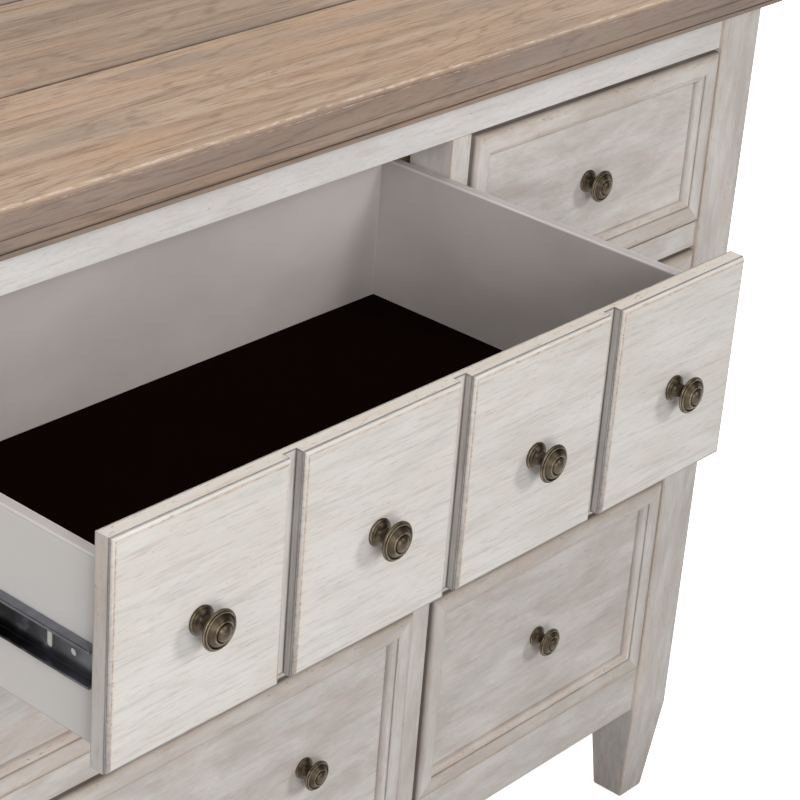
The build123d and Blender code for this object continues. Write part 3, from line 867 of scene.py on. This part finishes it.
def shadeAndLightenRails(bm):
    # Painted shade on the sides of the openings, so the gaps round the drawers read dark; the rail under the
    # top is painted lighter, whiter paint together with painted light that lifts the shade under the top's
    # overhang, and it keeps its edges unworn.
    glazeAndShade = bm.verts.layers.float["glazeAndShade"]
    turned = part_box("front_rails")[0].y + railShadeAndLight["revealStart"] * mm
    for vert in bm.verts:
        if vert.co.y > turned:
            vert[glazeAndShade] = railShadeAndLight["revealShade"]
    for face in bm.faces:
        if face.calc_center_median().z > railShadeAndLight["lightenedAbove"] * mm:
            markFace(bm, face, 1.0)


def makeCase():
    for index, (node, (pick, width, spread, finish, slotName)) in enumerate(caseBoards.items()):
        bm = cadCopy(node)
        easeAll(bm, width * mm, spread * mm, wear=caseWear["wear"])
        layGrain(bm, pick, caseWear["boardGrain"] * index)
        if node == "front_rails":
            shadeAndLightenRails(bm)
        finishPiece(f"{node}_eased", bm, finish, "case", [node])
    for index, node in enumerate(postNodes):
        makePost(node, caseWear["postGrain"] * index)
    makeSlide("slide_channels", "slide_channels_rolled", "case")


# Planked top

plankTop = dict(
    plankWidth=179.5, lipHeight=4.5, lipSetback=1.2, lipRound=2.2, lipDraft=0.02, roundSteps=4, sharp=50,
    underLine=1.3, underShade=0.7, bandLine=1.4, bandWear=0.8,
    veeHalf=1.6, veeFade=2.2, veeGlaze=1.0, veeHighlight=0.7, veeShade=0.4,
    plankTones=(0.0, 0.12, 0.2), plankGlaze=(0.0, 0.24, 0.12), sideStainAndShade=0.7,
    grainStep=(2.7, 0.4),  # in metres, along and across
)


def lipLoops(size):
    setback, draft = size["lipSetback"], size["lipDraft"]
    height, radius = size["lipHeight"], size["lipRound"]
    edge = setback + radius
    loops = [(0.0, 0.0, 0.0, 0.0), (0.25, 0.0, 0.85, 0.0), (setback, 0.05, 0.2, 0.3),
             (setback + draft, -(height - radius), 0.35, 0.0)]
    for _, turn in quarterRound(size["roundSteps"]):
        loops.append((setback + radius * (1 - cos(turn)) + draft, -(height - radius * (1 - sin(turn))),
                      0.35 + 0.45 * sin(turn), 0.0))
    loops += [(edge + 3.0, -height, 0.3, 0.0), (edge + 9.0, -height, 0.0, 0.0)]
    return inMetres(loops)


def makeTop():
    low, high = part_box("top_planks")
    size = plankTop
    plankWidth = size["plankWidth"] * mm
    band = high.z - size["lipHeight"] * mm  # where the square edge ends and the lip starts
    bm = newMesh()
    arris = bm.verts.layers.float["arris"]
    glazeAndShade = bm.verts.layers.float["glazeAndShade"]
    addBlock(bm, low, (high.x, high.y, band))
    top = max(bm.faces, key=lambda face: face.calc_center_median().z)
    sinkRings(bm, top, lipLoops(size))
    for z in (low.z + size["underLine"] * mm, band - size["bandLine"] * mm):
        cutThrough(bm, (0, 0, z), (0, 0, 1))
    for vert in bm.verts:
        # Painted shade along the underside of the top's edge; the line where the lip begins is worn.
        if vert.co.z < low.z + hair:
            vert[glazeAndShade] = size["underShade"]
        elif abs(vert.co.z - band) < hair:
            vert[arris] = size["bandWear"]

    # V joints: a line either side of each joint, and a third between them that drops. The front line takes a
    # painted highlight and the back line a painted shade.
    joints = []
    joint = low.y + plankWidth
    while joint < high.y - plankWidth / 4:
        joints.append(joint)
        joint += plankWidth
    vee = size["veeHalf"] * mm
    fade = size["veeFade"] * mm
    for joint in joints:
        for y in (joint - vee - fade, joint - vee, joint, joint + vee, joint + vee + fade):
            cutThrough(bm, (0, y, 0), (0, 1, 0))
        for vert in [vert for vert in bm.verts if vert.co.z > band]:
            away = vert.co.y - joint
            if abs(away) < hair:
                vert.co.z = max(vert.co.z - vee, band)
                vert[glazeAndShade] = size["veeGlaze"]
            elif abs(away + vee) < hair:
                vert[arris] = size["veeHighlight"]
            elif abs(away - vee) < hair:
                vert[glazeAndShade] = size["veeShade"]

    # Each plank has its own tone, its own share of glaze and its own stretch of grain.
    def plankAt(place):
        return sum(place.y > joint for joint in joints)

    for vert in bm.verts:
        offJoint = min(abs(vert.co.y - joint) for joint in joints) > vee + hair
        if offJoint and vert.co.z > high.z - hair:
            vert[glazeAndShade] = size["plankGlaze"][plankAt(vert.co)]
    bm.normal_update()
    layGrain(bm, alongX, 0.0)
    grain = bm.loops.layers.float_vector["grain"]
    stepAlong, stepAcross = size["grainStep"]
    for face in bm.faces:
        middle = face.calc_center_median()
        plank = plankAt(middle)
        # Upright faces take the dark stain more the steeper they stand: a deeper stain on the edges together
        # with painted shade.
        upright = max(size["plankTones"][plank], size["sideStainAndShade"] - face.normal.z)
        markFace(bm, face, 1.0 if middle.z < band - hair else upright)
        for loop in face.loops:
            along, across, depth = loop[grain]
            loop[grain] = (along + stepAlong * plank, across + stepAcross * plank, depth)
    finishPiece("planked_top", bm, "oak", "case", ["top_planks"], size["sharp"])
    print("planks:", len(joints) + 1)


# Moulding under the top

moulding = dict(
    overhang=14.0, fillet=4.5, filletLine=1.2, beadOverhang=16.5, beadRound=5.0, width=60.0, roundSteps=6,
    caseHalf=832.5, caseFace=-51.5, quirkReach=0.9, quirkShade=0.48, topReach=1.0, topShade=0.5,
    filletShade=0.22, faceMark=0.8, grainStart=5.2,  # grainStart in metres
)


def makeMoulding():
    low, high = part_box("top_moulding")
    size = moulding
    base, step, top = low.z, low.z + size["fillet"] * mm, high.z
    bead = size["beadRound"] * mm
    reach = size["beadOverhang"] * mm
    inner = reach - size["width"] * mm
    strip = size["overhang"] * mm
    section = [(inner, base), (strip, base), (strip, step - size["filletLine"] * mm), (strip, step)]
    section += arcPoints((reach - bead, step + bead), bead, -90, 0, size["roundSteps"])
    section += arcPoints((reach - bead, top - bead), bead, 0, 90, size["roundSteps"])
    section.append((inner, top))
    half, caseFace = size["caseHalf"] * mm, size["caseFace"] * mm

    # Four copies of the section: square at the back ends, mitred at the front corners.
    bm = newMesh()
    glazeAndShade = bm.verts.layers.float["glazeAndShade"]
    stations = [(-1, False), (-1, True), (1, True), (1, False)]
    rings = []
    for side, mitred in stations:
        ring = []
        for out, z in section:
            vert = bm.verts.new((side * (half + out), caseFace - out if mitred else high.y, z))
            # Painted shade: darker in the quirk, along the top where the moulding meets the planks, and on
            # the fillet under the bead.
            if abs(z - step) < size["quirkReach"] * mm:
                vert[glazeAndShade] = size["quirkShade"]
            elif z > top - size["topReach"] * mm:
                vert[glazeAndShade] = size["topShade"]
            elif z < step:
                vert[glazeAndShade] = size["filletShade"]
            ring.append(vert)
        rings.append(ring)
    loops = [[bm.edges.new((ring[index - 1], ring[index])) for index in range(len(ring))] for ring in rings]
    for first, second in zip(loops, loops[1:]):
        bmesh.ops.bridge_loops(bm, edges=first + second)
    for ring in (rings[0], rings[-1]):
        bm.faces.new(ring)
    bmesh.ops.recalc_face_normals(bm, faces=bm.faces)
    addBlock(bm, (-half - inner, high.y - size["width"] * mm, base), (half + inner, high.y, top))
    layGrain(bm, longestWay, size["grainStart"])
    for face in bm.faces:
        markFace(bm, face, size["faceMark"])
    finishPiece("oak_moulding", bm, "oak", "case", ["top_moulding"])


# Assembly

rowNames = ("top", "middle", "bottom")
columnNames = ("left", "centre", "right")
openDrawer = ("top", "centre")
knobCounts = {("top", "centre"): 4, ("middle", "centre"): 2, ("bottom", "centre"): 2}
drawerGrain = dict(start=0.8, row=1.1, column=3.7)  # where each drawer's grain starts, in metres

makeCase()
makeTop()
makeMoulding()
print("case dressed")
for rowIndex, row in enumerate(rowNames):
    for columnIndex, column in enumerate(columnNames):
        name = f"{row}_{column}"
        body = f"{name}_drawer"
        shift = drawerGrain["start"] + drawerGrain["row"] * rowIndex + drawerGrain["column"] * columnIndex
        makeFront = makePanelledFront if (row, column) == openDrawer else makeFramedFront
        makeFront(name, body, shift)
        makeKnobs(name, body, knobCounts.get((row, column), 1))
        makeBox(name, body, shift)
        makeSlide(f"{name}_runners", f"{name}_runners_rolled", body)
        makeSlide(f"{name}_carriers", f"{name}_carriers_rolled", f"{name}_carrier")
makeFelt("top_centre_drawer")
print("drawers dressed")


# Floor, light and camera

studio = dict(
    floorSize=120.0, floorTone=(0.93, 0.93, 0.93), floorGlow=0.8, floorRoughness=0.9,  # size in metres
    sky=(1.0, 1.0, 1.0), skyStrength=0.06,
)
lamps = {
    # name: place, aim, size in metres, watts, colour
    "keyLamp": ((1.6, -4.5, 3.5), (0.0, -0.2, 0.6), 1.3, 78.0, (1.0, 0.985, 0.97)),
    "frontLamp": ((-1.5, -3.4, 1.8), (0.0, -0.2, 0.6), 1.6, 60.0, (1.0, 0.99, 0.98)),
    "leftLamp": ((-2.2, -2.0, 2.4), (0.0, -0.2, 0.6), 1.6, 30.0, (0.99, 0.99, 1.0)),
    "topLamp": ((0.0, 0.3, 4.0), (0.0, 0.1, 1.0), 2.5, 38.0, (1.0, 1.0, 1.0)),
    "backLamp": ((0.6, 3.8, 2.0), (0.0, 0.3, 0.6), 2.0, 60.0, (1.0, 1.0, 1.0)),
    "rightLamp": ((3.8, 0.6, 1.7), (0.6, 0.2, 0.6), 2.0, 55.0, (1.0, 1.0, 1.0)),
    "sideLamp": ((-3.0, 2.2, 1.2), (-0.8, 0.2, 0.5), 1.6, 48.0, (1.0, 1.0, 1.0)),
}
shot = dict(place=(-1.354, -1.428, 1.769), azimuth=-50.34, elevation=26.69, roll=4.61,
            lens=117.0, sensor=36.0)


def makeStudio():
    scene = bpy.context.scene
    bm = bmesh.new()
    bmesh.ops.create_grid(bm, x_segments=1, y_segments=1, size=studio["floorSize"] / 2)
    mesh = bpy.data.meshes.new("studioFloor")
    bm.to_mesh(mesh)
    bm.free()
    fin = Finish("studioFloor")
    fin.put(Base_Color=studio["floorTone"], Roughness=studio["floorRoughness"],
            Emission_Color=studio["floorTone"], Emission_Strength=studio["floorGlow"])
    mesh.materials.append(fin.material)
    floor = bpy.data.objects.new("studioFloor", mesh)
    scene.collection.objects.link(floor)
    floor.visible_diffuse = False  # a white ground that throws no light back up
    scene.world = bpy.data.worlds.new("studioSky")
    scene.world.use_nodes = True
    sky = scene.world.node_tree.nodes["Background"]
    sky.inputs["Color"].default_value = (*studio["sky"], 1.0)
    sky.inputs["Strength"].default_value = studio["skyStrength"]
    for name, (place, aim, size, watts, colour) in lamps.items():
        light = bpy.data.lights.new(name, "AREA")
        light.shape = "SQUARE"
        light.size = size
        light.energy = watts
        light.color = colour
        lamp = bpy.data.objects.new(name, light)
        lamp.location = place
        lamp.rotation_euler = (Vector(aim) - Vector(place)).to_track_quat("-Z", "Y").to_euler()
        scene.collection.objects.link(lamp)
    scene.view_settings.view_transform = "Standard"


def makeCamera():
    camera = bpy.data.objects.new("camera", bpy.data.cameras.new("camera"))
    turned = Matrix.Rotation(radians(shot["azimuth"]), 4, "Z")
    tilted = Matrix.Rotation(radians(90 - shot["elevation"]), 4, "X")
    rolled = Matrix.Rotation(radians(shot["roll"]), 4, "Z")
    camera.matrix_world = Matrix.Translation(shot["place"]) @ (turned @ tilted) @ rolled
    camera.data.lens = shot["lens"]
    camera.data.sensor_width = shot["sensor"]
    bpy.context.scene.collection.objects.link(camera)
    bpy.context.scene.camera = camera


makeStudio()
makeCamera()
print("studio ready, lamps:", len(lamps))
